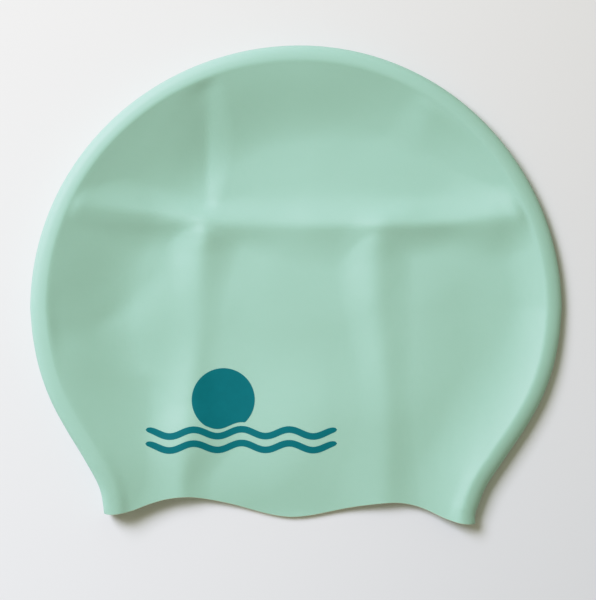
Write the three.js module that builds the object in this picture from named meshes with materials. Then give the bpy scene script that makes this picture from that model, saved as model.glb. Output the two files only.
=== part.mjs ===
// A silicone swim cap for long or full hair, lying flat with its front panel up.
// It is moulded in one piece: a thin domed shell, pressed flat into a front and a back panel
// that meet in a springy rounded rim, and open along the wavy head opening at the bottom.
// Folding for its pack has left one level and two upright creases in both panels.
// Millimetres. +Z is up from the table, +Y runs from the head opening to the crown,
// and the origin is on the table under the middle of the cap.
import * as THREE from "three";

// Driving sizes of the outline
const CAP_WIDTH = 266;
const DOME_RISE = 132; // from the widest line up to the crown
const SKIRT_DROP = 102.5; // from the widest line down to the middle of the head opening
const MOUTH_WIDTH = 186;
const MOUTH_SHIFT = -3.3; // how far the head opening lies to one side
const CROWN_SHIFT = 1.8;
const MOUTH_TILT = 4.4; // one ear flap hangs this much lower than the other
const WAVE_DEPTH = 8.3; // how far the edge rises from the middle scallop beside an ear flap

// Driving sizes of the shell and its heights above the table
const WALL = 1;
const RIM_THICKNESS = 17.3;
const RIM_ROLL = 8.2; // from the silhouette in to the rim's crest
const RIM_SQUARE = 2.8; // the power of the rim's rounding: 2 is an ellipse, more is squarer
const PANEL_LOFT = 9.2;
const SAG_DEPTH = 1; // how far the front panel sags inside the rim
const SAG_LENGTH = 75;
const MOUTH_DIP = 1.4; // how far the front edge sinks in the middle of the head opening
const DIP_LENGTH = 60;

// Driving sizes of the folds
const FOLD_LIFT = 3;
const FOLD_RUN = 16; // from a fold's crest to the foot of its flank
const FOLD_ROUND = 2.2;
const BACK_LIFT = 0.6; // how far the back panel rises off the table along a fold
const DENT_DEPTH = 0.9;

// The flank between the widest line and the head opening: how far down it, as a share of
// SKIRT_DROP, and how much of the narrowing from CAP_WIDTH to MOUTH_WIDTH is still to come.
const FLANK = [
  { at: 0, left: 1 },
  { at: 0.14, left: 0.965 },
  { at: 0.29, left: 0.885 },
  { at: 0.44, left: 0.745 },
  { at: 0.58, left: 0.55 },
  { at: 0.73, left: 0.305 },
  { at: 0.87, left: 0.095 },
  { at: 1, left: 0 },
];

// The wavy edge, alike on both sides. at is the share of half the head opening, and rise the
// share of WAVE_DEPTH above the middle scallop.
const EDGE_WAVE = [
  { at: 0, rise: 0 },
  { at: 0.06, rise: 0.045 },
  { at: 0.15, rise: 0.22 },
  { at: 0.33, rise: 0.69 },
  { at: 0.5, rise: 0.985 },
  { at: 0.58, rise: 1 },
  { at: 0.67, rise: 0.83 },
  { at: 0.76, rise: 0.5 },
  { at: 0.85, rise: 0.09 },
  { at: 0.93, rise: -0.12 },
  { at: 1, rise: -0.17 },
];

// The folds that run up the cap, from the head opening to the crown. at is the share of the
// cap's height, and across the share of half its width. lift is a share of FOLD_LIFT, and
// below 0 for a valley. west and east are the flanks' widths as shares of FOLD_RUN, and round
// is the crest's rounding as a share of FOLD_ROUND.
const WEST_FOLD = [
  { at: 0, across: -0.422, lift: 0.8, west: 1.56, east: 0.88, round: 1.46 },
  { at: 0.07, across: -0.431, lift: 0.61, west: 0.98, east: 0.65, round: 1.28 },
  { at: 0.16, across: -0.404, lift: 0.99, west: 1.02, east: 1.27, round: 2.76 },
  { at: 0.26, across: -0.397, lift: 0.83, west: 1.03, east: 1, round: 2.2 },
  { at: 0.42, across: -0.365, lift: 0.3, west: 0.78, east: 0.56, round: 1.85 },
  { at: 0.55, across: -0.355, lift: 0.78, west: 0.64, east: 0.86, round: 2.22 },
  { at: 0.6, across: -0.34, lift: 1.1, west: 1.07, east: 1.16, round: 1.22 },
  { at: 0.645, across: -0.344, lift: 0.07, west: 0.3, east: 0.3, round: 2 },
  { at: 0.7, across: -0.34, lift: -0.48, west: 2.17, east: 0.55, round: 0.61 },
  { at: 0.8, across: -0.337, lift: -0.53, west: 1.57, east: 0.79, round: 0.82 },
  { at: 0.93, across: -0.336, lift: -0.24, west: 0.56, east: 0.3, round: 2.23 },
  { at: 1, across: -0.354, lift: -0.1, west: 1.59, east: 0.3, round: 0.71 },
];
const EAST_FOLD = [
  { at: 0, across: 0.328, lift: 0.66, west: 1.44, east: 0.95, round: 2.26 },
  { at: 0.24, across: 0.335, lift: 0.3, west: 0.69, east: 0.56, round: 1.68 },
  { at: 0.46, across: 0.298, lift: 0.49, west: 0.71, east: 0.61, round: 2.35 },
  { at: 0.58, across: 0.292, lift: 1.25, west: 0.82, east: 1.02, round: 2.97 },
  { at: 0.63, across: 0.318, lift: 0.53, west: 0.57, east: 0.96, round: 1.96 },
  { at: 0.66, across: 0.347, lift: -0.05, west: 1.35, east: 2.15, round: 0.98 },
  { at: 0.71, across: 0.415, lift: -0.1, west: 2.04, east: 1.75, round: 1.77 },
  { at: 0.88, across: 0.506, lift: 0.4, west: 0.7, east: 1.4, round: 1.41 },
  { at: 1, across: 0.47, lift: 0, west: 0.69, east: 0.64, round: 1.42 },
];
const SLANT_VALLEY = [
  { at: 0.3, across: -0.553, lift: -0.02, west: 1.98, east: 1.24, round: 1.66 },
  { at: 0.38, across: -0.738, lift: -0.32, west: 1.6, east: 3, round: 3 },
  { at: 0.46, across: -0.608, lift: -0.5, west: 2.87, east: 3, round: 3 },
  { at: 0.52, across: -0.515, lift: -0.52, west: 2.98, east: 2.27, round: 3 },
  { at: 0.585, across: -0.477, lift: -0.31, west: 2.87, east: 1.11, round: 1.46 },
  { at: 0.62, across: -0.46, lift: -0.02, west: 3.32, east: 0.34, round: 2.06 },
];

// The level fold. at is the share of half the cap's width, and up the share of its height.
// crown and mouth are its two flanks' widths, as shares of FOLD_RUN, and round is its crest's
// rounding as above.
const LEVEL_FOLD = [
  { at: -1, up: 0.69, lift: 0, crown: 1.04, mouth: 0.39, round: 1.98 },
  { at: -0.84, up: 0.66, lift: 0.23, crown: 0.3, mouth: 0.34, round: 3 },
  { at: -0.62, up: 0.647, lift: 0.95, crown: 0.94, mouth: 1.07, round: 0.99 },
  { at: -0.5, up: 0.638, lift: 0.93, crown: 0.73, mouth: 0.89, round: 0.88 },
  { at: -0.34, up: 0.625, lift: 0.78, crown: 0.48, mouth: 0.47, round: 1.62 },
  { at: 0.1, up: 0.617, lift: 1.45, crown: 1.53, mouth: 1.26, round: 0.91 },
  { at: 0.55, up: 0.625, lift: 1.28, crown: 1.03, mouth: 0.76, round: 0.89 },
  { at: 0.73, up: 0.631, lift: 1.45, crown: 1.01, mouth: 1.19, round: 1.9 },
  { at: 0.88, up: 0.643, lift: 0.53, crown: 0.3, mouth: 0.84, round: 1.49 },
  { at: 1, up: 0.654, lift: 0.6, crown: 1.01, mouth: 0.86, round: 2.09 },
];

// The rim by the way it faces, in turns from the east over the crown. height is a share of
// RIM_THICKNESS, reach how far inside the crest the front panel is level, as a share of half
// the cap's width, and sag how far it sags there, as a share of SAG_DEPTH.
const RIM = [
  { at: 0, height: 0.54, reach: 0.27, sag: 2 },
  { at: 0.08, height: 0.56, reach: 0.3, sag: 2 },
  { at: 0.17, height: 0.68, reach: 0.42, sag: 2 },
  { at: 0.25, height: 0.85, reach: 0.36, sag: -0.12 },
  { at: 0.36, height: 1, reach: 0.37, sag: 0.55 },
  { at: 0.5, height: 1, reach: 0.32, sag: 0.03 },
  { at: 0.6, height: 0.94, reach: 0.26, sag: -0.1 },
  { at: 0.66, height: 0.74, reach: 0.26, sag: 0 },
  { at: 0.8, height: 0.6, reach: 0.3, sag: 0.5 },
  { at: 0.86, height: 0.58, reach: 0.24, sag: 0.71 },
  { at: 0.93, height: 0.56, reach: 0.25, sag: 0.93 },
  { at: 1, height: 0.54, reach: 0.27, sag: 2 },
];

// Shallow round dents in the front panel: where each lies, as shares of half the cap's width
// and of its height, its radius as a share of that half width, and its share of DENT_DEPTH.
const DENTS = [
  { across: -0.38, up: 0.305, radius: 0.49, depth: 1.9 },
  { across: 0.03, up: 0.69, radius: 0.5, depth: 0.5 },
  { across: 0.3, up: 0.7, radius: 0.3, depth: 0.1 },
  { across: 0.79, up: 1.05, radius: 0.5, depth: -2 },
  { across: 0.15, up: 0.41, radius: 0.28, depth: 0.7 },
];

// How finely the shell is divided: sections up the cap, and columns between the crests of
// its rim and upright folds. The back lies flat, so it needs fewer columns.
const SECTIONS_BELOW_FOLD = 18;
const SECTIONS_ABOVE_FOLD = 18;
const ROLL_COLUMNS = 4;
const FRONT_COLUMNS = [9, 10, 9];
const BACK_COLUMNS = [5, 6, 5];

const HALF_WIDTH = CAP_WIDTH / 2;
const CAP_HEIGHT = DOME_RISE + SKIRT_DROP;
const { clamp, lerp } = THREE.MathUtils;
const ease = (share) => (1 - Math.cos(Math.PI * clamp(share, 0, 1))) / 2;
const heightAt = (share) => share * CAP_HEIGHT - SKIRT_DROP;
const shareAt = (y) => clamp((y + SKIRT_DROP) / CAP_HEIGHT, 0, 1);

// The value of one column of a table, on a smooth curve through its rows.
function along(table, column, at) {
  const last = table.length - 1;
  const place = clamp(at, table[0].at, table[last].at);
  const next = Math.max(1, table.findIndex((row) => row.at >= place));
  const slope = (index) => {
    const [before, after] = [table[Math.max(index - 1, 0)], table[Math.min(index + 1, last)]];
    return (after[column] - before[column]) / (after.at - before.at);
  };
  const [low, high] = [table[next - 1], table[next]];
  const span = high.at - low.at;
  const t = (place - low.at) / span;
  return (
    low[column] * (1 + 2 * t) * (1 - t) ** 2 +
    slope(next - 1) * span * t * (1 - t) ** 2 +
    high[column] * t * t * (3 - 2 * t) +
    slope(next) * span * t * t * (t - 1)
  );
}

// Half the cap's width at a height above its widest line, and the middle of that width.
function halfWidth(y) {
  if (y >= 0) return HALF_WIDTH * Math.sqrt(Math.max(0, 1 - (y / DOME_RISE) ** 2));
  const mouthHalf = MOUTH_WIDTH / 2;
  return mouthHalf + (HALF_WIDTH - mouthHalf) * along(FLANK, "left", -y / SKIRT_DROP);
}
function middle(y) {
  if (y >= 0) return CROWN_SHIFT * clamp(y / DOME_RISE, 0, 1) ** 4;
  return MOUTH_SHIFT * clamp(-y / SKIRT_DROP, 0, 1) ** 4;
}

// How much longer a level line across the rim is than one square to the silhouette.
function obliqueness(y) {
  const step = 0.5;
  return Math.hypot(1, (halfWidth(y + step) - halfWidth(y - step)) / (2 * step));
}

// How far inside the silhouette a point lies, square to the silhouette.
function inset(x, y) {
  const aside = Math.abs(x - middle(y));
  if (y < 0) return Math.max(0, halfWidth(y) - aside) / obliqueness(y);
  const reach = Math.hypot(aside / HALF_WIDTH, y / DOME_RISE);
  const steepness = Math.hypot(aside / HALF_WIDTH ** 2, y / DOME_RISE ** 2);
  return steepness === 0 ? HALF_WIDTH : (Math.max(0, 1 - reach) * reach) / steepness;
}

// A fold's flanks: 1 on its crest, falling to 0 at the foot on either side.
function flanks(offset, lowRun, highRun, round) {
  const run = FOLD_RUN * (offset < 0 ? lowRun : highRun);
  const rounding = FOLD_ROUND * round;
  const distance = Math.hypot(offset, rounding) - rounding;
  return Math.max(0, 1 - distance / run) ** 1.7;
}

function uprightFold(table, x, y) {
  const at = shareAt(y);
  if (at < table[0].at || at > table[table.length - 1].at) return 0;
  const offset = x - along(table, "across", at) * HALF_WIDTH;
  const [west, east, round] = ["west", "east", "round"].map((side) => along(table, side, at));
  return along(table, "lift", at) * flanks(offset, west, east, round);
}

function levelFold(x, y) {
  const at = x / HALF_WIDTH;
  const offset = y - heightAt(along(LEVEL_FOLD, "up", at));
  const sides = ["mouth", "crown", "round"].map((side) => along(LEVEL_FOLD, side, at));
  return along(LEVEL_FOLD, "lift", at) * flanks(offset, ...sides);
}

// All folds' height in millimetres. Ridges that cross share a part of their crests.
function folds(x, y) {
  const upright = uprightFold(WEST_FOLD, x, y) + uprightFold(EAST_FOLD, x, y);
  const level = levelFold(x, y);
  const shared = 0.55 * Math.min(Math.max(upright, 0), level);
  return FOLD_LIFT * (upright + level - shared + uprightFold(SLANT_VALLEY, x, y));
}

// All dents' depth in millimetres.
function dents(x, y) {
  return DENTS.reduce((sum, dent) => {
    const away = Math.hypot(x - dent.across * HALF_WIDTH, y - heightAt(dent.up));
    const share = away / (dent.radius * HALF_WIDTH);
    return sum + DENT_DEPTH * dent.depth * Math.max(0, 1 - share ** 2) ** 2;
  }, 0);
}

// How far the front edge sinks in the middle of the head opening.
function mouthDip(x, y) {
  const nearness = clamp(1 - (y + SKIRT_DROP) / DIP_LENGTH, 0, 1);
  const across = clamp((x - middle(y)) / (MOUTH_WIDTH / 2), -1, 1);
  return MOUTH_DIP * nearness ** 2 * Math.cos((Math.PI / 2) * across) ** 2;
}

// The way a point faces, in turns from the east over the crown.
const turnOf = (x, y) => (Math.atan2(y, x) / (2 * Math.PI) + 1) % 1;

// The rim's thickness, which is full in the west and less in the east.
const rimThickness = (x, y) => RIM_THICKNESS * along(RIM, "height", turnOf(x, y));

// The rounded rise of the rim: 0 at the silhouette, 1 at its crest.
const roll = (depth) => {
  return (1 - (1 - clamp(depth / RIM_ROLL, 0, 1)) ** RIM_SQUARE) ** (1 / RIM_SQUARE);
};

// How freely a panel folds: not at all on the rim's crest, and fully a little inside it.
const freedom = (depth) => ease((depth - RIM_ROLL) / RIM_ROLL);

// The front panel inside the rim, without its folds: it falls evenly from the crest and sags.
function dish(x, y, depth) {
  const turn = turnOf(x, y);
  const inward = clamp((depth - RIM_ROLL) / (along(RIM, "reach", turn) * HALF_WIDTH), 0, 1);
  const fall = 1 - ((inward - inward ** 4 / 4) * 4) / 3;
  const across = clamp((depth - RIM_ROLL) / SAG_LENGTH, 0, 1);
  const sag = SAG_DEPTH * along(RIM, "sag", turn) * across * (1 - across) ** 2 * 6.75;
  return lerp(PANEL_LOFT, rimThickness(x, y), fall) - sag;
}

function frontHeight(x, y) {
  const depth = inset(x, y);
  if (depth < RIM_ROLL) return (rimThickness(x, y) / 2) * (1 + roll(depth));
  return dish(x, y, depth) + (folds(x, y) - dents(x, y) - mouthDip(x, y)) * freedom(depth);
}

// The back panel lies flat on the table, and lifts off it a little along the folds.
function backHeight(x, y) {
  const depth = inset(x, y);
  const fall = (rimThickness(x, y) / 2) * (1 - roll(depth));
  return fall + (BACK_LIFT / FOLD_LIFT) * Math.max(0, folds(x, y)) * freedom(depth);
}

// The places of one section's columns, from -1 at the west silhouette to 1 at the east.
function columnPlaces(y, counts) {
  const half = halfWidth(y);
  const innerHalf = HALF_WIDTH - RIM_ROLL;
  const innerShare = clamp(1 - (y / (DOME_RISE - RIM_ROLL)) ** 2, 0, 1);
  const rimWidth = y < 0 ? RIM_ROLL * obliqueness(y) : half - innerHalf * Math.sqrt(innerShare);
  const crest = 1 - Math.min(rimWidth / half, 0.6);
  const at = shareAt(y);
  const westFold = (along(WEST_FOLD, "across", at) * HALF_WIDTH - middle(y)) / half;
  const eastFold = (along(EAST_FOLD, "across", at) * HALF_WIDTH - middle(y)) / half;
  const stops = [-crest, Math.max(westFold, -0.7 * crest), Math.min(eastFold, 0.7 * crest), crest];
  const rim = Array.from({ length: ROLL_COLUMNS }, (_, i) => {
    return 1 - (1 - crest) * (1 - Math.cos(((Math.PI / 2) * i) / ROLL_COLUMNS));
  });
  const places = rim.map((place) => -place);
  counts.forEach((count, part) => {
    for (let i = 0; i < count; i++) {
      places.push(lerp(stops[part], stops[part + 1], ease(i / count)));
    }
  });
  return [...places, crest, ...rim.reverse()];
}

// How far the wavy edge lies above or below the end of the skirt, across the head opening.
const wave = (place) =>
  WAVE_DEPTH * along(EDGE_WAVE, "rise", Math.abs(place)) - (MOUTH_TILT / 2) * place;

// One section of the shell's outside: a closed loop over the front and back by the back.
// Near the head opening the sections follow the wavy edge, and near the level fold its crest.
function section(share) {
  const level = heightAt(share);
  const waviness = Math.max(0, 1 - share / 0.3) ** 2;
  const straight = heightAt(along(LEVEL_FOLD, "up", 0));
  const nearness = Math.max(0, 1 - Math.abs(level - straight) / (4 * FOLD_RUN)) ** 2;
  const point = (place, height) => {
    const fold = heightAt(along(LEVEL_FOLD, "up", (place * halfWidth(level)) / HALF_WIDTH));
    const y = level + waviness * wave(place) + nearness * (fold - straight);
    const x = middle(y) + place * halfWidth(y);
    return new THREE.Vector3(x, y, height(x, y));
  };
  const front = columnPlaces(level, FRONT_COLUMNS).map((place) => point(place, frontHeight));
  const back = columnPlaces(level, BACK_COLUMNS).map((place) => point(place, backHeight));
  return [...front, ...back.slice(1, -1).reverse()];
}

// The sections' places up the cap, closer together at the edge, the level fold and the crown.
function sectionShares() {
  const fold = along(LEVEL_FOLD, "up", 0);
  const shares = [];
  for (let i = 0; i < SECTIONS_BELOW_FOLD; i++) {
    shares.push(fold * ease(i / SECTIONS_BELOW_FOLD));
  }
  for (let i = 0; i < SECTIONS_ABOVE_FOLD; i++) {
    shares.push(lerp(fold, 1, ease(i / SECTIONS_ABOVE_FOLD)));
  }
  return shares;
}

// The triangles of a skin through the sections, closed with a fan at the crown.
function skinFaces(loopCount, loopSize, first) {
  const faces = [];
  for (let row = 0; row < loopCount; row++) {
    const low = first + row * loopSize;
    const high = low + loopSize;
    for (let i = 0; i < loopSize; i++) {
      const next = (i + 1) % loopSize;
      if (row === loopCount - 1) {
        faces.push([low + i, low + next, high]);
      } else {
        faces.push([low + i, low + next, high + next]);
        faces.push([low + i, high + next, high + i]);
      }
    }
  }
  return faces;
}

// The shell: an outside skin, the same skin set in by the wall, and the edge between them.
function shellGeometry() {
  const loops = sectionShares().map(section);
  const loopSize = loops[0].length;
  const crown = new THREE.Vector3(CROWN_SHIFT, DOME_RISE, rimThickness(CROWN_SHIFT, DOME_RISE) / 2);
  const outside = [...loops.flat(), crown];
  const outsideFaces = skinFaces(loops.length, loopSize, 0);

  const skin = new THREE.BufferGeometry().setFromPoints(outside);
  skin.setIndex(outsideFaces.flat());
  skin.computeVertexNormals();
  const normal = new THREE.Vector3();
  const inside = outside.map((point, i) => {
    normal.fromBufferAttribute(skin.getAttribute("normal"), i);
    return point.clone().addScaledVector(normal, -WALL);
  });
  const insideFaces = skinFaces(loops.length, loopSize, outside.length).map((face) => {
    return face.toReversed();
  });

  const edgeFaces = [];
  for (let i = 0; i < loopSize; i++) {
    const next = (i + 1) % loopSize;
    const [innerHere, innerNext] = [outside.length + i, outside.length + next];
    edgeFaces.push([i, innerNext, next], [i, innerHere, innerNext]);
  }
  const geometry = new THREE.BufferGeometry().setFromPoints([...outside, ...inside]);
  geometry.setIndex([...outsideFaces, ...insideFaces, ...edgeFaces].flat());
  geometry.computeVertexNormals();
  return geometry;
}

// Moves a geometry so that the origin lies on the table under the middle of its box.
function standOnOrigin(geometry) {
  geometry.computeBoundingBox();
  const { min, max } = geometry.boundingBox;
  return geometry.translate(-(min.x + max.x) / 2, -(min.y + max.y) / 2, -min.z);
}

const mintSilicone = new THREE.MeshStandardMaterial({
  color: 0xa6cfbd,
  roughness: 0.5,
  metalness: 0,
});

const capShell = new THREE.Mesh(standOnOrigin(shellGeometry()), mintSilicone);
capShell.name = "cap_shell";

const swimCap = new THREE.Group();
swimCap.add(capShell);

export default swimCap;
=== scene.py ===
"""A mint silicone swim cap that lies flat on a white table, seen from straight above.

The cap is one moulded shell: a front and a back panel that meet in a springy rounded rim and
are open along the wavy edge at the bottom. Its pack has left one level fold and two upright
folds in it. The front panel carries a flat print of a sun over waves.

Everything is in metres, with +Z up from the table and +Y from the head opening to the crown.
"""

from __future__ import annotations

import logging
import math
from collections.abc import Callable
from dataclasses import dataclass, field
from enum import Enum

import bmesh
import bpy
import numpy as np
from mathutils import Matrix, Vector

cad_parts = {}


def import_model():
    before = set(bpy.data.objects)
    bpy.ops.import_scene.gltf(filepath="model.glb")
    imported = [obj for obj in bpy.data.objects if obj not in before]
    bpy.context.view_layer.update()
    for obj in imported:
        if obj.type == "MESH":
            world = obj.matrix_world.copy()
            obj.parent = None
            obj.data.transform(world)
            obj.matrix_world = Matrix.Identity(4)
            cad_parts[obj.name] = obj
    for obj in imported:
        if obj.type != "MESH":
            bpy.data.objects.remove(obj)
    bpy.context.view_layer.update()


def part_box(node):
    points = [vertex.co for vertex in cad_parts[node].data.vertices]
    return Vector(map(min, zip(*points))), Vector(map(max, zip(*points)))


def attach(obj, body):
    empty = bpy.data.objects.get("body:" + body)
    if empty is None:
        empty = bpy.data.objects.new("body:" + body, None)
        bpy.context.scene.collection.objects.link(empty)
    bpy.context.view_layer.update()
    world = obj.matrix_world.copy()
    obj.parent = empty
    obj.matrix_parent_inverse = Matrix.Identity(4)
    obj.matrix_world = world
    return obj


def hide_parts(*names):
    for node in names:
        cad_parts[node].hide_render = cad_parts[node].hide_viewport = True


log = logging.getLogger("swim_cap")

NODE = "cap_shell"
BODY = "root"
MM = 0.001
MERGE_DISTANCE = 0.01 * MM
SMOOTH_ANGLE = math.radians(50)
PRINT_MIDDLE = (-28.1 * MM, -61.9 * MM)

Table = dict[str, tuple[float, ...]]
Colour = tuple[float, float, float]

# The flank below the widest line: how far down it, as a share of its drop, and how much of the
# narrowing to the head opening is still to come.
FLANK: Table = {
    "at": (0, 0.14, 0.29, 0.44, 0.58, 0.73, 0.87, 1),
    "left": (1, 0.965, 0.885, 0.745, 0.55, 0.305, 0.095, 0),
}

# The wavy edge, alike on both sides: the share of half the opening, and the rise as a share of
# the wave's depth.
EDGE_WAVE: Table = {
    "at": (0, 0.06, 0.15, 0.33, 0.5, 0.58, 0.67, 0.76, 0.85, 0.93, 1),
    "rise": (-0.24, -0.19, -0.01, 0.485, 0.81, 0.837, 0.675, 0.355, -0.045, -0.245, -0.285),
}

# The folds that run up the cap. at is the share of the cap's height, across the share of half
# its width, lift a share of the folds' height (below 0 for a valley), west and east the widths
# of the flanks as shares of the folds' run, and round the crest's rounding as a share of the
# folds' own.
WEST_FOLD: Table = {
    "at": (0, 0.07, 0.16, 0.26, 0.42, 0.55, 0.6, 0.645, 0.7, 0.8, 0.93, 1),
    "across": (
        -0.432, -0.435, -0.41, -0.399, -0.372, -0.362,
        -0.347, -0.352, -0.346, -0.342, -0.344, -0.361,
    ),
    "lift": (0.76, 0.68, 1.09, 1.04, 0.28, 0.81, 1.13, 0.01, -0.44, -0.49, -0.22, -0.07),
    "west": (1.62, 1.01, 1.05, 1.07, 0.76, 0.69, 1.11, 0.3, 2.5, 1.71, 0.46, 1.59),
    "east": (0.89, 0.79, 1.3, 1.1, 0.55, 0.89, 1.18, 0.3, 0.55, 0.81, 0.3, 0.3),
    "round": (1.47, 1.25, 2.77, 2.33, 1.92, 2.25, 1.18, 2.12, 0.54, 0.63, 2.32, 0.7),
}
EAST_FOLD: Table = {
    "at": (0, 0.24, 0.46, 0.58, 0.63, 0.66, 0.71, 0.88, 1),
    "across": (0.329, 0.338, 0.299, 0.294, 0.323, 0.356, 0.407, 0.504, 0.47),
    "lift": (0.64, 0.29, 0.81, 1.15, 0.68, -0.02, 0.03, 0.27, -0.01),
    "west": (1.57, 0.71, 0.86, 0.92, 0.8, 1.23, 2.12, 0.64, 0.69),
    "east": (0.92, 0.59, 0.88, 0.89, 0.91, 2.18, 1.73, 1.42, 0.64),
    "round": (2.32, 1.78, 2.59, 3, 1.91, 0.89, 1.71, 1.37, 1.42),
}
SLANT_VALLEY: Table = {
    "at": (0.3, 0.38, 0.46, 0.52, 0.585, 0.62),
    "across": (-0.561, -0.748, -0.615, -0.524, -0.477, -0.467),
    "lift": (-0.03, -0.56, -0.85, -0.9, -0.6, -0.04),
    "west": (1.98, 1.74, 2.86, 2.84, 2.79, 3.32),
    "east": (1.23, 3, 3, 2.47, 1.28, 0.35),
    "round": (1.65, 3, 3, 3, 1.41, 2.07),
}

# The level fold. at is the share of half the cap's width, up the share of its height, crown
# and mouth the widths of its two flanks as shares of the folds' run, and round as above.
LEVEL_FOLD: Table = {
    "at": (-1, -0.84, -0.62, -0.5, -0.34, 0.1, 0.55, 0.73, 0.88, 1),
    "up": (0.69, 0.66, 0.646, 0.639, 0.625, 0.618, 0.625, 0.632, 0.641, 0.654),
    "lift": (-0.05, 0.26, 0.92, 0.81, 0.86, 1.25, 1.68, 1.55, 0.55, 0.2),
    "crown": (1.04, 0.3, 0.97, 0.83, 0.5, 1.41, 1.6, 0.9, 0.8, 1.01),
    "mouth": (0.38, 0.34, 1.22, 0.92, 0.42, 1.32, 0.91, 1.37, 0.94, 0.85),
    "round": (1.98, 3, 0.83, 0.68, 1.8, 0.83, 0.99, 1.93, 1.54, 2.09),
}

# The rim by the way it faces, in turns from the east over the crown: its height as a share of
# the full one, how far in its crest lies as a share of the rim's roll, the power of its
# rounding (2 is an ellipse, more is squarer), how far the front panel falls from its crest
# before it is level as a share of half the cap's width, and how far the panel sags below that
# as a share of the sag's depth.
RIM: Table = {
    "at": (0, 0.08, 0.17, 0.25, 0.36, 0.5, 0.6, 0.66, 0.8, 0.86, 0.93, 1),
    "height": (0.42, 0.49, 0.68, 0.85, 1, 1, 0.86, 0.6, 0.58, 0.55, 0.52, 0.42),
    "crest": (0.95, 0.95, 0.95, 0.95, 1, 1.05, 1, 0.92, 0.93, 0.95, 0.95, 0.95),
    "square": (2.1, 2.2, 2.7, 3.1, 3.5, 3.8, 3.5, 2.9, 2.3, 2.1, 2.1, 2.1),
    "reach": (0.28, 0.38, 0.27, 0.31, 0.36, 0.32, 0.34, 0.6, 0.4, 0.22, 0.26, 0.32),
    "sag": (2.5, 2.5, 2, 0.28, 0.53, 0.08, -0.2, -0.2, -0.4, 0.83, 1.7, 2.5),
}

# Shallow dents: across and up as above, radius as a share of half the width, and depth as a
# share of the dents' depth.
DENTS: Table = {
    "across": (-0.365, -0.03, 0.381, 0.774, 0.245),
    "up": (0.275, 0.664, 0.643, 1.05, 0.418),
    "radius": (0.5, 0.5, 0.37, 0.5, 0.42),
    "depth": (2.69, 2.37, 1.32, -1.93, 1.56),
}


class Panel(Enum):
    """The two panels of the shell, each with the way its outside faces."""

    FRONT = 1
    BACK = -1


class Lamp(Enum):
    """The lamps over the table."""

    WINDOW = "window"
    CEILING = "ceiling"


def ease(share: np.ndarray) -> np.ndarray:
    """Returns a smooth step from 0 to 1, level at both ends."""
    return (1 - np.cos(np.pi * np.clip(share, 0, 1))) / 2


def along(table: Table, column: str, at: np.ndarray) -> np.ndarray:
    """Reads one column of a table on a smooth curve through its rows.

    Args:
        table: The table, with its places in the column at.
        column: The column to read.
        at: The places to read it at.

    Returns:
        The values at those places.
    """
    places = np.asarray(table["at"], float)
    values = np.asarray(table[column], float)
    slopes = np.empty_like(values)
    slopes[1:-1] = (values[2:] - values[:-2]) / (places[2:] - places[:-2])
    slopes[0] = (values[1] - values[0]) / (places[1] - places[0])
    slopes[-1] = (values[-1] - values[-2]) / (places[-1] - places[-2])
    at = np.clip(at, places[0], places[-1])
    low = np.clip(np.searchsorted(places, at, side="right") - 1, 0, len(places) - 2)
    span = places[low + 1] - places[low]
    t = (at - places[low]) / span
    return (
        values[low] * (1 + 2 * t) * (1 - t) ** 2
        + slopes[low] * span * t * (1 - t) ** 2
        + values[low + 1] * t * t * (3 - 2 * t)
        + slopes[low + 1] * span * t * t * (t - 1)
    )


def resample(points: np.ndarray, shares: np.ndarray) -> np.ndarray:
    """Walks along a line of points.

    Args:
        points: The line's points, one in each row.
        shares: The shares of its length to stop at.

    Returns:
        The places of those stops.
    """
    steps = np.hypot(*np.diff(points, axis=0).T)
    length = np.concatenate([[0], np.cumsum(steps)])
    stops = np.asarray(shares) * length[-1]
    return np.stack([np.interp(stops, length, points[:, i]) for i in (0, 1)], axis=1)


def gathered(count: int, centres: tuple[float, ...], width: float, pull: float) -> np.ndarray:
    """Spaces mesh lines from 0 to 1, closer together where the folds run.

    Args:
        count: The number of spaces.
        centres: Where the lines gather.
        width: How wide each gathering is.
        pull: How much denser the lines are there.

    Returns:
        The places of the count + 1 lines.
    """
    fine = np.linspace(0, 1, 2001)
    density = 1 + sum(pull * np.exp(-(((fine - centre) / width) ** 2)) for centre in centres)
    total = np.concatenate([[0], np.cumsum((density[1:] + density[:-1]) / 2)])
    return np.interp(np.linspace(0, 1, count + 1), total / total[-1], fine)


def deselect_all() -> None:
    """Leaves nothing selected, in object mode."""
    if bpy.context.object and bpy.context.object.mode != "OBJECT":
        bpy.ops.object.mode_set(mode="OBJECT")
    bpy.ops.object.select_all(action="DESELECT")


def pick(piece: bpy.types.Object) -> None:
    """Makes one piece the only selected one, and the active one."""
    deselect_all()
    piece.select_set(True)
    bpy.context.view_layer.objects.active = piece


def places_of(piece: bpy.types.Object) -> np.ndarray:
    """Returns the places of a piece's vertices, one in each row."""
    flat = np.empty(len(piece.data.vertices) * 3)
    piece.data.vertices.foreach_get("co", flat)
    return flat.reshape(-1, 3)


def move_to(piece: bpy.types.Object, places: np.ndarray) -> None:
    """Moves a piece's vertices to new places."""
    piece.data.vertices.foreach_set("co", places.ravel())
    piece.data.update()


def apply(
    piece: bpy.types.Object, kind: str, **settings: float | str | bool | bpy.types.Object
) -> None:
    """Adds a modifier to a piece and applies it.

    Args:
        piece: The piece.
        kind: The modifier's type.
        settings: The modifier's settings.
    """
    pick(piece)
    modifier = piece.modifiers.new(kind.title(), kind)
    for name, value in settings.items():
        setattr(modifier, name, value)
    bpy.ops.object.modifier_apply(modifier=modifier.name)


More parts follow.
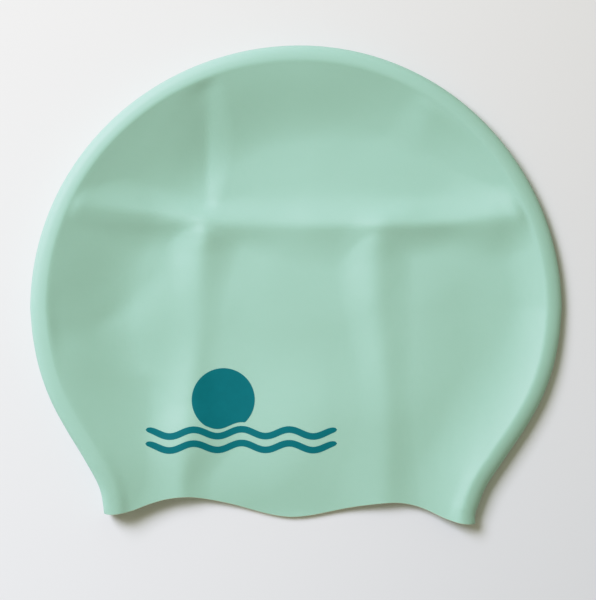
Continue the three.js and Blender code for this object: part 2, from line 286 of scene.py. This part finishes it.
def edit_whole(piece: bpy.types.Object, *steps: Callable[[], object]) -> None:
    """Runs some steps in edit mode, on the whole of one piece.

    Args:
        piece: The piece.
        steps: The steps, in order.
    """
    pick(piece)
    bpy.ops.object.mode_set(mode="EDIT")
    bpy.ops.mesh.select_all(action="SELECT")
    for step in steps:
        step()
    bpy.ops.object.mode_set(mode="OBJECT")


def merge_close() -> None:
    """Merges the selected vertices that lie on each other."""
    bpy.ops.mesh.remove_doubles(threshold=MERGE_DISTANCE)


def face_alike() -> None:
    """Turns the selected faces so that neighbours face the same way."""
    bpy.ops.mesh.normals_make_consistent(inside=False)


def face(piece: bpy.types.Object, way: int) -> None:
    """Turns a flat piece over if it faces the wrong way.

    Args:
        piece: The piece.
        way: 1 to face up, -1 to face down.
    """
    if np.mean([polygon.normal.z for polygon in piece.data.polygons]) * way < 0:
        piece.data.flip_normals()


class Paint:
    """A new material and the nodes that are added to it."""

    def __init__(self, name: str, roughness: float) -> None:
        """Makes the material.

        Args:
            name: Its name.
            roughness: Its roughness.
        """
        self.material = bpy.data.materials.new(name)
        self.material.use_nodes = True
        self.nodes = self.material.node_tree.nodes
        self.shader = self.nodes["Principled BSDF"]
        self.shader.inputs["Roughness"].default_value = roughness
        self.place = self.nodes.new("ShaderNodeTexCoord").outputs["Object"]

    def link(self, source: bpy.types.NodeSocket, target: bpy.types.NodeSocket) -> None:
        """Links one node's output to another's input."""
        self.material.node_tree.links.new(source, target)

    def noise(self, scale: float, detail: float) -> bpy.types.NodeSocket:
        """Adds a noise over the object's own coordinates.

        Args:
            scale: The noise's scale.
            detail: The number of its finer layers.

        Returns:
            Its output.
        """
        made = self.nodes.new("ShaderNodeTexNoise")
        made.inputs["Scale"].default_value = scale
        made.inputs["Detail"].default_value = detail
        self.link(self.place, made.inputs["Vector"])
        return made.outputs["Fac"]

    def blend(
        self, factor: bpy.types.NodeSocket, low: Colour, high: Colour
    ) -> bpy.types.NodeSocket:
        """Adds a blend of two colours.

        Args:
            factor: What the blend follows.
            low: The colour at 0.
            high: The colour at 1.

        Returns:
            Its output.
        """
        made = self.nodes.new("ShaderNodeMix")
        made.data_type = "RGBA"
        made.inputs["A"].default_value = (*low, 1)
        made.inputs["B"].default_value = (*high, 1)
        self.link(factor, made.inputs["Factor"])
        return made.outputs["Result"]


@dataclass(frozen=True)
class CapPlan:
    """The cap's outline on the table, with y = 0 on its widest line."""

    width: float = 266 * MM
    dome_rise: float = 132 * MM
    skirt_drop: float = 102.5 * MM
    mouth_width: float = 186 * MM
    mouth_shift: float = -3.7 * MM
    crown_shift: float = 1.8 * MM
    mouth_tilt: float = 5.5 * MM
    wave_depth: float = 8.3 * MM
    run_on: float = 40 * MM
    flank_points: int = 400
    dome_points: int = 1601
    batch: int = 4000
    on_rim: float = 1e-7

    @property
    def half(self) -> float:
        """Returns half the cap's width."""
        return self.width / 2

    @property
    def height(self) -> float:
        """Returns the cap's height from the head opening to the crown."""
        return self.dome_rise + self.skirt_drop

    def share_at(self, y: np.ndarray) -> np.ndarray:
        """Returns the share of the cap's height at y."""
        return np.clip((y + self.skirt_drop) / self.height, 0, 1)

    def y_at(self, share: np.ndarray) -> np.ndarray:
        """Returns the y of a share of the cap's height."""
        return share * self.height - self.skirt_drop

    def half_width(self, y: np.ndarray) -> np.ndarray:
        """Returns half the cap's width at y."""
        dome = self.half * np.sqrt(np.clip(1 - (y / self.dome_rise) ** 2, 0, None))
        mouth_half = self.mouth_width / 2
        left = along(FLANK, "left", -y / self.skirt_drop)
        return np.where(y >= 0, dome, mouth_half + (self.half - mouth_half) * left)

    def middle(self, y: np.ndarray) -> np.ndarray:
        """Returns the middle of the cap's width at y."""
        crown = self.crown_shift * np.clip(y / self.dome_rise, 0, 1) ** 4
        mouth = self.mouth_shift * np.clip(-y / self.skirt_drop, 0, 1) ** 4
        return np.where(y >= 0, crown, mouth)

    def edge(self, place: np.ndarray) -> np.ndarray:
        """Returns points on the wavy edge, for places from -1 in the west to 1 in the east."""
        rise = self.wave_depth * along(EDGE_WAVE, "rise", np.abs(place))
        y = -self.skirt_drop + rise - self.mouth_tilt / 2 * place
        return np.stack([self.middle(y) + place * self.half_width(y), y], axis=1)

    def flank(self, side: int) -> np.ndarray:
        """Returns the flank's points from its ear corner up to the widest line."""
        ear = self.edge(np.array([float(side)]))[0, 1]
        y = np.linspace(ear, 0, self.flank_points)
        return np.stack([self.middle(y) + side * self.half_width(y), y], axis=1)

    def silhouette(self) -> np.ndarray:
        """Returns the folded rim's points, from the east ear over the crown to the west ear."""
        angle = np.linspace(0, np.pi, self.dome_points)[1:-1]
        y = self.dome_rise * np.sin(angle)
        x = self.middle(y) + self.half * np.cos(angle)
        west = self.flank(-1)[::-1]
        return np.concatenate([self.flank(1), np.stack([x, y], axis=1), west])

    def inset(self, x: np.ndarray, y: np.ndarray, line: np.ndarray) -> np.ndarray:
        """Measures how far inside the folded rim points lie, with the rim run on past the ears.

        Args:
            x: The points' x.
            y: The points' y.
            line: The rim's points.

        Returns:
            The distance of each point from the rim.
        """
        ends = []
        for tip, back in ((line[0], line[4]), (line[-1], line[-5])):
            ends.append(tip + (tip - back) / np.linalg.norm(tip - back) * self.run_on)
        line = np.concatenate([ends[:1], line, ends[1:]])
        begin, step = line[:-1], np.diff(line, axis=0)
        square = (step**2).sum(axis=1)
        nearest = np.empty(len(x))
        for first in range(0, len(x), self.batch):
            part = slice(first, first + self.batch)
            here = np.stack([x[part], y[part]], axis=1)
            away = here[:, None, :] - begin[None]
            share = np.clip((away * step).sum(axis=2) / square, 0, 1)
            gap = away - share[..., None] * step
            nearest[part] = np.sqrt((gap**2).sum(axis=2).min(axis=1))
        return np.where(nearest < self.on_rim, 0, nearest)


@dataclass(frozen=True)
class CapRelief:
    """The heights of the shell's outside above the table."""

    plan: CapPlan = field(default_factory=CapPlan)
    rim_height: float = 17.3 * MM
    rim_roll: float = 8.2 * MM
    free_length: float = 5.5 * MM
    loft: float = 6.4 * MM
    least: float = 2.3 * MM
    softness: float = 0.8 * MM
    mouth_dip: float = 4.3 * MM
    dip_length: float = 60 * MM
    dip_power: float = 0.7
    lift: float = 3 * MM
    run: float = 16 * MM
    rounding: float = 2.2 * MM
    flank_power: float = 1.7
    crossing: float = 0.55
    sag_depth: float = 2 * MM
    sag_length: float = 75 * MM
    back_lift: float = 0.6 * MM
    dent_depth: float = 2 * MM

    def profile(
        self, table: Table, at: np.ndarray, offset: np.ndarray, low: str, high: str
    ) -> np.ndarray:
        """Returns a fold's height, as a share of the folds' lift.

        Args:
            table: The fold.
            at: The places along it.
            offset: The distance from its crest, below 0 on the low side.
            low: The column of the low side's flank.
            high: The column of the high side's flank.
        """
        run = self.run * np.where(offset < 0, along(table, low, at), along(table, high, at))
        rounding = self.rounding * along(table, "round", at)
        distance = np.hypot(offset, rounding) - rounding
        fall = np.clip(1 - distance / run, 0, None) ** self.flank_power
        return along(table, "lift", at) * fall

    def upright(self, table: Table, x: np.ndarray, y: np.ndarray) -> np.ndarray:
        """Returns the height of a fold that runs up the cap, as a share of the folds' lift."""
        at = self.plan.share_at(y)
        inside = (at >= table["at"][0]) & (at <= table["at"][-1])
        offset = x - along(table, "across", at) * self.plan.half
        return np.where(inside, self.profile(table, at, offset, "west", "east"), 0)

    def level(self, x: np.ndarray, y: np.ndarray) -> np.ndarray:
        """Returns the height of the level fold, as a share of the folds' lift."""
        at = x / self.plan.half
        offset = y - self.plan.y_at(along(LEVEL_FOLD, "up", at))
        return self.profile(LEVEL_FOLD, at, offset, "mouth", "crown")

    def folds(self, x: np.ndarray, y: np.ndarray) -> np.ndarray:
        """Returns the height of all folds. Ridges that cross share a part of their crests."""
        upright = self.upright(WEST_FOLD, x, y) + self.upright(EAST_FOLD, x, y)
        level = self.level(x, y)
        shared = self.crossing * np.minimum(np.maximum(upright, 0), level)
        return self.lift * (upright + level - shared + self.upright(SLANT_VALLEY, x, y))

    def dents(self, x: np.ndarray, y: np.ndarray) -> np.ndarray:
        """Returns the depth of all dents."""
        depth = np.zeros_like(x)
        for across, up, radius, share in zip(*DENTS.values()):
            away = np.hypot(x - across * self.plan.half, y - self.plan.y_at(up))
            reach = np.clip(1 - (away / (radius * self.plan.half)) ** 2, 0, None)
            depth += self.dent_depth * share * reach**2
        return depth

    def dip(self, x: np.ndarray, y: np.ndarray) -> np.ndarray:
        """Returns how far the front panel sinks towards the middle of the head opening."""
        near = np.clip(1 - (y + self.plan.skirt_drop) / self.dip_length, 0, 1)
        across = np.clip((x - self.plan.middle(y)) / (self.plan.mouth_width / 2), -1, 1)
        return self.mouth_dip * near**2 * np.cos(np.pi / 2 * across) ** self.dip_power

    def thickness(self, x: np.ndarray, y: np.ndarray) -> np.ndarray:
        """Returns the rim's height, which is full in the west and less in the east."""
        return self.rim_height * along(RIM, "height", self.turn(x, y))

    def turn(self, x: np.ndarray, y: np.ndarray) -> np.ndarray:
        """Returns the way points face, in turns from the east over the crown."""
        return np.arctan2(y, x) / (2 * np.pi) % 1

    def crest(self, x: np.ndarray, y: np.ndarray) -> np.ndarray:
        """Returns how far inside the silhouette the rim's crest lies."""
        return self.rim_roll * along(RIM, "crest", self.turn(x, y))

    def roll(self, x: np.ndarray, y: np.ndarray, depth: np.ndarray) -> np.ndarray:
        """Returns the rim's rounded rise: 0 at the silhouette, and 1 at its crest."""
        outward = 1 - np.clip(depth / self.crest(x, y), 0, 1)
        power = along(RIM, "square", self.turn(x, y))
        return (1 - outward**power) ** (1 / power)

    def dish(self, x: np.ndarray, y: np.ndarray, depth: np.ndarray) -> np.ndarray:
        """Returns the front panel's height inside the rim, without its folds.

        It falls from the crest at an even slope that eases out, by 1 in all. The sag below
        that starts and ends at 0, and 27 / 4 makes it 1 where it is deepest.
        """
        turn = self.turn(x, y)
        reach = along(RIM, "reach", turn) * self.plan.half
        past = depth - self.crest(x, y)
        inward = np.clip(past / reach, 0, 1)
        fall = 1 - (inward - inward**4 / 4) * 4 / 3
        across = np.clip(past / self.sag_length, 0, 1)
        sag = self.sag_depth * along(RIM, "sag", turn) * across * (1 - across) ** 2 * 27 / 4
        return self.loft + (self.thickness(x, y) - self.loft) * fall - sag

    def freedom(self, x: np.ndarray, y: np.ndarray, depth: np.ndarray) -> np.ndarray:
        """Returns how freely a panel folds: not at all on the crest of the rim."""
        return ease((depth - self.crest(x, y)) / self.free_length)

    def front(self, x: np.ndarray, y: np.ndarray, depth: np.ndarray) -> np.ndarray:
        """Returns the front panel's height.

        Args:
            x: The points' x.
            y: The points' y.
            depth: How far inside the rim they lie.

        Returns:
            The height of each point above the table.
        """
        rim = self.thickness(x, y) / 2 * (1 + self.roll(x, y, depth))
        relief = self.folds(x, y) - self.dents(x, y) - self.dip(x, y)
        above = self.dish(x, y, depth) + relief * self.freedom(x, y, depth) - self.least
        panel = self.least + (above + np.hypot(above, self.softness)) / 2
        return np.where(depth < self.crest(x, y), rim, panel)

    def back(self, x: np.ndarray, y: np.ndarray, depth: np.ndarray) -> np.ndarray:
        """Returns the back panel's height, which lifts off the table a little along the folds."""
        fall = self.thickness(x, y) / 2 * (1 - self.roll(x, y, depth))
        raised = np.maximum(0, self.folds(x, y)) * self.back_lift / self.lift
        return fall + raised * self.freedom(x, y, depth)


@dataclass(frozen=True)
class SiliconeFinish:
    """Matt silicone with a fine grain and a faint cloudiness."""

    name: str = "mint_silicone"
    colour: Colour = (0.425, 0.637, 0.545)
    deep: Colour = (0.412, 0.623, 0.53)
    roughness: float = 0.5
    refraction: float = 1.41
    bleed: float = 0.12
    bleed_colour: Colour = (1.0, 1.0, 0.9)
    bleed_depth: float = 2 * MM
    cloud_scale: float = 22
    cloud_detail: float = 4
    grain_scale: float = 900
    grain_detail: float = 3
    grain_strength: float = 0.25
    grain_depth: float = 0.03 * MM

    def material(self) -> bpy.types.Material:
        """Returns the silicone's material."""
        paint = Paint(self.name, self.roughness)
        inputs = paint.shader.inputs
        inputs["IOR"].default_value = self.refraction
        inputs["Subsurface Weight"].default_value = self.bleed
        inputs["Subsurface Radius"].default_value = self.bleed_colour
        inputs["Subsurface Scale"].default_value = self.bleed_depth
        cloud = paint.noise(self.cloud_scale, self.cloud_detail)
        paint.link(paint.blend(cloud, self.deep, self.colour), inputs["Base Color"])
        bump = paint.nodes.new("ShaderNodeBump")
        bump.inputs["Strength"].default_value = self.grain_strength
        bump.inputs["Distance"].default_value = self.grain_depth
        paint.link(paint.noise(self.grain_scale, self.grain_detail), bump.inputs["Height"])
        paint.link(bump.outputs["Normal"], inputs["Normal"])
        return paint.material


# The trimmed edge of the head opening gets a pale cream instead of the silicone's mint: a painted
# highlight where the thin edge catches the light.
PAINTED_EDGE_HIGHLIGHT = SiliconeFinish("painted_edge_highlight", (0.84, 0.83, 0.68), (0.8, 0.79, 0.64))


@dataclass(frozen=True)
class PrintFinish:
    """Teal screen-print ink, a little uneven."""

    colour: Colour = (0.0, 0.205, 0.235)
    unevenness: float = 0.07
    roughness: float = 0.6
    shine: float = 0.15
    cloud_scale: float = 260
    cloud_detail: float = 5

    def material(self) -> bpy.types.Material:
        """Returns the ink's material."""
        paint = Paint("teal_ink", self.roughness)
        paint.shader.inputs["Specular IOR Level"].default_value = self.shine
        cloud = paint.noise(self.cloud_scale, self.cloud_detail)
        thin, thick = (
            tuple(part * share for part in self.colour)
            for share in (1 - self.unevenness, 1 + self.unevenness)
        )
        paint.link(paint.blend(cloud, thin, thick), paint.shader.inputs["Base Color"])
        return paint.material


@dataclass(frozen=True)
class TablePaintedLightFinish:
    """Matt white board whose colour carries painted light: lighter in the west and darker in the
    east where the window's light falls off, warmer in the north and cooler in the south where its
    colour changes.
    """

    # west and east paint the window light's falloff across the board, and north and south paint
    # the change in its colour; reach is how far from the middle these painted gradients run.
    west: Colour = (0.88, 0.875, 0.87)
    east: Colour = (0.75, 0.745, 0.745)
    south: Colour = (1.0, 1.02, 1.075)
    north: Colour = (1.0, 0.99, 0.965)
    reach: float = 0.3
    roughness: float = 0.75
    shine: float = 0.2

    def material(self) -> bpy.types.Material:
        """Returns the board's material, with the light's falloff painted into its colour."""
        paint = Paint("white_board_painted_light", self.roughness)
        paint.shader.inputs["Specular IOR Level"].default_value = self.shine
        parts = paint.nodes.new("ShaderNodeSeparateXYZ")
        paint.link(paint.place, parts.inputs["Vector"])
        tint = paint.nodes.new("ShaderNodeMix")
        tint.data_type = "RGBA"
        tint.blend_type = "MULTIPLY"
        tint.inputs["Factor"].default_value = 1
        # Painted light: the two gradients multiply into the board's colour.
        ends = {"X": (self.west, self.east, "A"), "Y": (self.south, self.north, "B")}
        for axis, (low, high, side) in ends.items():
            span = paint.nodes.new("ShaderNodeMapRange")
            span.interpolation_type = "SMOOTHERSTEP"
            span.inputs["From Min"].default_value = -self.reach
            span.inputs["From Max"].default_value = self.reach
            paint.link(parts.outputs[axis], span.inputs["Value"])
            paint.link(paint.blend(span.outputs["Result"], low, high), tint.inputs[side])
        paint.link(tint.outputs["Result"], paint.shader.inputs["Base Color"])
        return paint.material


@dataclass
class SiliconeShell:
    """The whole cap: both panels, the rim between them and the trimmed edge."""

    relief: CapRelief
    origin: tuple[float, float]
    finish: SiliconeFinish = field(default_factory=SiliconeFinish)
    # The trimmed edge's painted highlight.
    painted_edge_highlight: SiliconeFinish = PAINTED_EDGE_HIGHLIGHT
    divisions: int = 124
    ring_depths: tuple[float, ...] = (
        0, 0.3 * MM, 0.9 * MM, 1.9 * MM, 3.4 * MM, 5.2 * MM,
        7 * MM, 8.2 * MM, 9 * MM, 10.4 * MM, 12 * MM, 14 * MM,
    )
    inner_depth: float = 16.4 * MM
    fan: int = 700
    ring_step: float = 0.05
    upright_folds: tuple[float, ...] = (0.33, 0.665)
    level_fold: tuple[float, ...] = (0.9,)
    edge_points: int = 1201
    wall: float = 1 * MM
    edge_round: float = 0.28 * MM
    edge_angle: float = math.radians(60)

    def sheet(self) -> bpy.types.Object:
        """Models a square grid with rings extruded round it, the mesh of one panel."""
        deselect_all()
        bpy.ops.mesh.primitive_grid_add(
            x_subdivisions=self.divisions, y_subdivisions=self.divisions, size=2
        )
        made = bpy.context.object
        made.name = "silicone_shell"
        bpy.ops.object.mode_set(mode="EDIT")
        bpy.ops.mesh.select_mode(type="EDGE")
        bpy.ops.mesh.select_all(action="DESELECT")
        mesh = bmesh.from_edit_mesh(made.data)
        for edge in mesh.edges:
            edge.select_set(edge.is_boundary)
        bmesh.update_edit_mesh(made.data)
        for ring in range(len(self.ring_depths)):
            growth = (1 + (ring + 1) * self.ring_step) / (1 + ring * self.ring_step)
            bpy.ops.mesh.extrude_edges_move(TRANSFORM_OT_translate={"value": (0, 0, 0)})
            bpy.ops.transform.resize(value=(growth, growth, 1), center_override=(0, 0, 0))
        edit_whole(made, face_alike)
        return made

    def border(self) -> tuple[np.ndarray, np.ndarray]:
        """Spaces the mesh's columns round the outline.

        Returns:
            The outline's points and the way inwards at each, from the west ear along the edge
            to the east ear, up over the crown and back.
        """
        plan = self.relief.plan
        across = gathered(self.divisions, self.upright_folds, width=0.07, pull=0.8)
        up = gathered(self.divisions, self.level_fold, width=0.12, pull=0.9)
        edge = resample(plan.edge(np.linspace(-1, 1, self.edge_points)), across)
        over = plan.silhouette()
        third = 1 / 3
        east = resample(over, up * third)
        top = resample(over, third + (1 - across[::-1]) * third)
        west = resample(over, 1 - up[::-1] * third)
        loop = np.concatenate([edge[:-1], east[:-1], top[:-1], west[:-1]])
        ahead = np.roll(loop, -1, axis=0) - np.roll(loop, 1, axis=0)
        inward = np.stack([-ahead[:, 1], ahead[:, 0]], axis=1)
        inward /= np.linalg.norm(inward, axis=1)[:, None]
        for _ in range(self.fan):
            inward = (np.roll(inward, 1, axis=0) + 2 * inward + np.roll(inward, -1, axis=0)) / 4
        inward /= np.linalg.norm(inward, axis=1)[:, None]
        return loop, inward

    def lay_out(self, made: bpy.types.Object) -> tuple[np.ndarray, np.ndarray]:
        """Spreads the square sheet over the cap's plan.

        Args:
            made: The square sheet.

        Returns:
            The plan place of each of its vertices, and how far inside the rim each lies.
        """
        square = places_of(made)[:, :2]
        size = np.abs(square).max(axis=1)
        ring = np.rint((size - 1) / self.ring_step).clip(0).astype(int)
        unit = square / np.maximum(size, 1)[:, None]
        count = self.divisions
        u = np.rint((unit[:, 0] + 1) / 2 * count).astype(int)
        v = np.rint((unit[:, 1] + 1) / 2 * count).astype(int)
        loop, inward = self.border()
        inner = loop + inward * self.inner_depth
        corners = [inner[0], inner[count], inner[2 * count], inner[3 * count]]
        low, east = inner[:count], inner[count : 2 * count]
        low = np.concatenate([low, [corners[1]]])
        east = np.concatenate([east, [corners[2]]])
        top = np.concatenate([inner[2 * count : 3 * count], [corners[3]]])[::-1]
        west = np.concatenate([inner[3 * count :], [corners[0]]])[::-1]
        a = (np.arange(count + 1) / count)[u][:, None]
        b = (np.arange(count + 1) / count)[v][:, None]
        patch = (1 - b) * low[u] + b * top[u] + (1 - a) * west[v] + a * east[v]
        patch -= (1 - a) * (1 - b) * corners[0] + a * (1 - b) * corners[1]
        patch -= a * b * corners[2] + (1 - a) * b * corners[3]
        column = np.select(
            [v == 0, u == count, v == count, u == 0],
            [u, count + v, 3 * count - u, 4 * count - v],
            0,
        ) % (4 * count)
        depths = np.array([self.inner_depth, *self.ring_depths[::-1]])[ring][:, None]
        rim = loop[column] + inward[column] * depths
        plan = np.where((ring > 0)[:, None], rim, patch)
        line = np.concatenate([loop[count:], loop[:1]])
        return plan, self.relief.plan.inset(plan[:, 0], plan[:, 1], line)

    def panel(self, side: Panel) -> bpy.types.Object:
        """Models one panel of the shell's outside.

        Args:
            side: Which panel.

        Returns:
            The panel, with its outside facing out.
        """
        made = self.sheet()
        plan, depth = self.lay_out(made)
        x, y = plan[:, 0], plan[:, 1]
        height = self.relief.front if side is Panel.FRONT else self.relief.back
        z = height(x, y, depth)
        move_to(made, np.stack([x + self.origin[0], y + self.origin[1], z], axis=1))
        edit_whole(made, face_alike)
        face(made, side.value)
        return made

    def build(self) -> bpy.types.Object:
        """Joins the panels along the rim, and gives them their wall and a trimmed edge with a
        painted highlight.

        Returns:
            The shell.
        """
        front = self.panel(Panel.FRONT)
        back = self.panel(Panel.BACK)
        pick(front)
        back.select_set(True)
        bpy.ops.object.join()
        edit_whole(front, merge_close)
        # The second material goes on the solidified rim and its bevel, and paints a highlight on
        # the trimmed edge.
        for finish in (self.finish, self.painted_edge_highlight):
            front.data.materials.append(finish.material())
        apply(
            front,
            "SOLIDIFY",
            thickness=self.wall,
            offset=-1,
            use_even_offset=True,
            material_offset_rim=1,
        )
        apply(
            front,
            "BEVEL",
            width=self.edge_round,
            segments=2,
            limit_method="ANGLE",
            angle_limit=self.edge_angle,
            material=1,
        )
        pick(front)
        bpy.ops.object.shade_smooth_by_angle(angle=SMOOTH_ANGLE)
        front.name = front.data.name = "silicone_shell"
        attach(front, BODY)
        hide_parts(NODE)
        return front


@dataclass(frozen=True)
class Motif:
    """A sun that stands over two waves, flat, with its middle at its own origin."""

    length: float = 96 * MM
    stroke: float = 3.3 * MM
    swell: float = 1.7 * MM
    waves: int = 4
    rows: tuple[float, ...] = (0, -6.9 * MM)
    sun_middle: tuple[float, float] = (-9.2 * MM, 16.6 * MM)
    sun_radius: float = 15.8 * MM
    gap: float = 1.9 * MM
    end_power: float = 24

    def wave(self, x: np.ndarray, row: float) -> np.ndarray:
        """Returns the height of a wave's middle line at x."""
        return row + self.swell * np.cos(2 * np.pi * self.waves * x / self.length)

    def wave_sides(self, share: np.ndarray, row: float) -> tuple[np.ndarray, ...]:
        """Measures one wave.

        Args:
            share: Places along it, from 0 to 1.
            row: The height of its middle line.

        Returns:
            The x, the lower side and the upper side at those places.
        """
        x = (share - 0.5) * self.length
        round_end = np.clip(1 - np.abs(2 * share - 1) ** self.end_power, 0, None)
        half = self.stroke / 2 * np.sqrt(round_end)
        lean = 2 * np.pi * self.waves * self.swell / self.length
        slope = lean * np.sin(2 * np.pi * self.waves * x / self.length)
        half = half * np.hypot(1, slope)
        middle = self.wave(x, row)
        return x, middle - half, middle + half

    def sun_sides(self, share: np.ndarray) -> tuple[np.ndarray, ...]:
        """Measures the sun, cut off along the upper wave.

        Args:
            share: Places across it, from 0 to 1.

        Returns:
            The x, the lower side and the upper side at those places.
        """
        turn = np.pi * (1 - share)
        x = self.sun_middle[0] + self.sun_radius * np.cos(turn)
        rise = self.sun_radius * np.sin(turn)
        cut = self.wave(x, self.rows[0]) + self.stroke / 2 + self.gap
        return x, np.maximum(self.sun_middle[1] - rise, cut), self.sun_middle[1] + rise


@dataclass
class WavePrint:
    """The motif, printed on the front panel."""

    target: bpy.types.Object
    middle: tuple[float, float]
    motif: Motif = field(default_factory=Motif)
    finish: PrintFinish = field(default_factory=PrintFinish)
    ink: float = 0.06 * MM
    above: float = 60 * MM
    fine: float = 0.8 * MM
    wave_rows: int = 5
    sun_columns: int = 48
    sun_rows: int = 36

    def strip(self, sides: tuple[np.ndarray, ...], rows: int) -> bpy.types.Object:
        """Models one printed shape from its two sides, as a flat grid.

        Args:
            sides: The x, the lower side and the upper side, one for each column.
            rows: The number of rows between the sides.

        Returns:
            The shape, above the cap.
        """
        x, low, high = sides
        deselect_all()
        bpy.ops.mesh.primitive_grid_add(x_subdivisions=len(x) - 1, y_subdivisions=rows, size=2)
        made = bpy.context.object
        square = places_of(made)
        column = np.rint((square[:, 0] + 1) / 2 * (len(x) - 1)).astype(int)
        up = (square[:, 1] + 1) / 2
        y = low[column] + (high - low)[column] * up
        east, north = self.middle
        flat = np.stack([x[column] + east, y + north, np.full_like(y, self.above)], axis=1)
        move_to(made, flat)
        return made

    def build(self) -> bpy.types.Object:
        """Returns the print, laid on the panel with the thickness of its ink."""
        motif = self.motif
        along_it = np.linspace(0, 1, 1 + round(motif.length / self.fine))
        across_it = np.linspace(0, 1, 1 + self.sun_columns)
        shapes = [
            self.strip(motif.wave_sides(along_it, row), self.wave_rows) for row in motif.rows
        ]
        shapes.append(self.strip(motif.sun_sides(across_it), self.sun_rows))
        pick(shapes[0])
        for shape in shapes[1:]:
            shape.select_set(True)
        bpy.ops.object.join()
        made = bpy.context.object
        apply(
            made,
            "SHRINKWRAP",
            target=self.target,
            wrap_method="PROJECT",
            use_project_z=True,
            use_negative_direction=True,
            use_positive_direction=False,
            offset=self.ink / 4,
        )
        edit_whole(made, merge_close, face_alike)
        face(made, 1)
        apply(made, "SOLIDIFY", thickness=self.ink, offset=1, use_even_offset=True)
        pick(made)
        bpy.ops.object.shade_smooth_by_angle(angle=SMOOTH_ANGLE)
        made.name = made.data.name = "wave_print"
        made.data.materials.append(self.finish.material())
        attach(made, BODY)
        return made


@dataclass
class TableTop:
    """The white board under the cap."""

    finish: TablePaintedLightFinish = field(default_factory=TablePaintedLightFinish)
    size: float = 12.0
    below: float = 0.15 * MM

    def build(self) -> bpy.types.Object:
        """Returns the board."""
        deselect_all()
        bpy.ops.mesh.primitive_plane_add(size=self.size, location=(0, 0, -self.below))
        made = bpy.context.object
        made.name = "table_top"
        bpy.ops.object.transform_apply(location=True, rotation=True, scale=True)
        made.data.materials.append(self.finish.material())
        return made


@dataclass
class SoftLight:
    """A window in the northwest, a faint ceiling lamp, and the pale room."""

    window_power: float = 39.2
    window_colour: Colour = (0.84, 0.86, 1.0)
    window_place: tuple[float, float, float] = (-1.02, 0.86, 1.35)
    window_size: float = 0.95
    ceiling_power: float = 0.5
    ceiling_colour: Colour = (1.0, 0.98, 0.94)
    ceiling_place: tuple[float, float, float] = (-0.5, 0.8, 1.8)
    ceiling_size: float = 1.2
    room_colour: Colour = (1.0, 0.975, 0.68)
    room_strength: float = 0.36

    def lamp(self, kind: Lamp) -> bpy.types.Object:
        """Hangs one lamp, turned to the cap.

        Args:
            kind: Which lamp.

        Returns:
            The lamp.
        """
        name = kind.value
        place = getattr(self, f"{name}_place")
        light = bpy.data.lights.new(f"{name}_light", "AREA")
        light.energy = getattr(self, f"{name}_power")
        light.color = getattr(self, f"{name}_colour")
        light.shape = "SQUARE"
        light.size = getattr(self, f"{name}_size")
        made = bpy.data.objects.new(f"{name}_light", light)
        made.location = place
        x, y, z = place
        made.rotation_euler = (math.atan2(math.hypot(x, y), z), 0, math.atan2(y, x) + math.pi / 2)
        bpy.context.scene.collection.objects.link(made)
        return made

    def build(self) -> list[bpy.types.Object]:
        """Returns the lamps, with the room's pale light set."""
        world = bpy.data.worlds.new("pale_room")
        world.use_nodes = True
        sky = world.node_tree.nodes["Background"]
        sky.inputs["Color"].default_value = (*self.room_colour, 1)
        sky.inputs["Strength"].default_value = self.room_strength
        bpy.context.scene.world = world
        return [self.lamp(kind) for kind in Lamp]


@dataclass(frozen=True)
class ToneCurve:
    """A camera's soft tone curve: firmer mid tones, and highlights that roll off."""

    scene: tuple[float, ...] = (0.1, 0.25, 0.4, 0.57, 0.68, 0.8, 0.97, 1.25)
    shown: tuple[float, ...] = (0.075, 0.205, 0.365, 0.57, 0.69, 0.79, 0.88, 0.95)
    brightest: float = 2.0
    combined: int = 3

    def apply(self) -> None:
        """Sets the curve in the scene's view settings."""
        view = bpy.context.scene.view_settings
        view.view_transform = "Standard"
        view.look = "None"
        view.use_curve_mapping = True
        mapping = view.curve_mapping
        mapping.clip_max_x = self.brightest
        curve = mapping.curves[self.combined]
        curve.points[-1].location = (self.brightest, 1)
        for place in zip(self.scene, self.shown):
            curve.points.new(*place)
        mapping.update()


@dataclass
class OverheadCamera:
    """The camera straight above the cap, with the crown at the picture's top."""

    over: tuple[float, float] = (0.3 * MM, -8.1 * MM)
    level: float = 8.25 * MM
    distance: float = 750 * MM
    view_height: float = 300 * MM
    sensor: float = 36.0
    nearest: float = 10 * MM
    farthest: float = 20.0

    def build(self) -> bpy.types.Object:
        """Returns the camera, set as the scene's own."""
        data = bpy.data.cameras.new("overhead_camera")
        data.sensor_fit = "VERTICAL"
        data.sensor_height = self.sensor
        data.sensor_width = self.sensor
        data.lens = self.sensor * self.distance / self.view_height
        data.clip_start = self.nearest
        data.clip_end = self.farthest
        made = bpy.data.objects.new("overhead_camera", data)
        made.location = (*self.over, self.level + self.distance)
        bpy.context.scene.collection.objects.link(made)
        bpy.context.scene.camera = made
        return made


def main() -> None:
    """Builds the cap, its print, the table, the light and the camera."""
    logging.basicConfig(level=logging.INFO, format="%(name)s: %(message)s")
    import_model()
    relief = CapRelief()
    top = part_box(NODE)[1]
    origin = (0.0, top.y - relief.plan.dome_rise)
    shell = SiliconeShell(relief, origin).build()
    middle = (PRINT_MIDDLE[0] + origin[0], PRINT_MIDDLE[1] + origin[1])
    pieces = [shell, WavePrint(shell, middle).build()]
    for piece in pieces:
        log.info("%s has %d faces", piece.name, len(piece.data.polygons))
    TableTop().build()
    SoftLight().build()
    ToneCurve().apply()
    OverheadCamera().build()


if __name__ == "__main__":
    main()
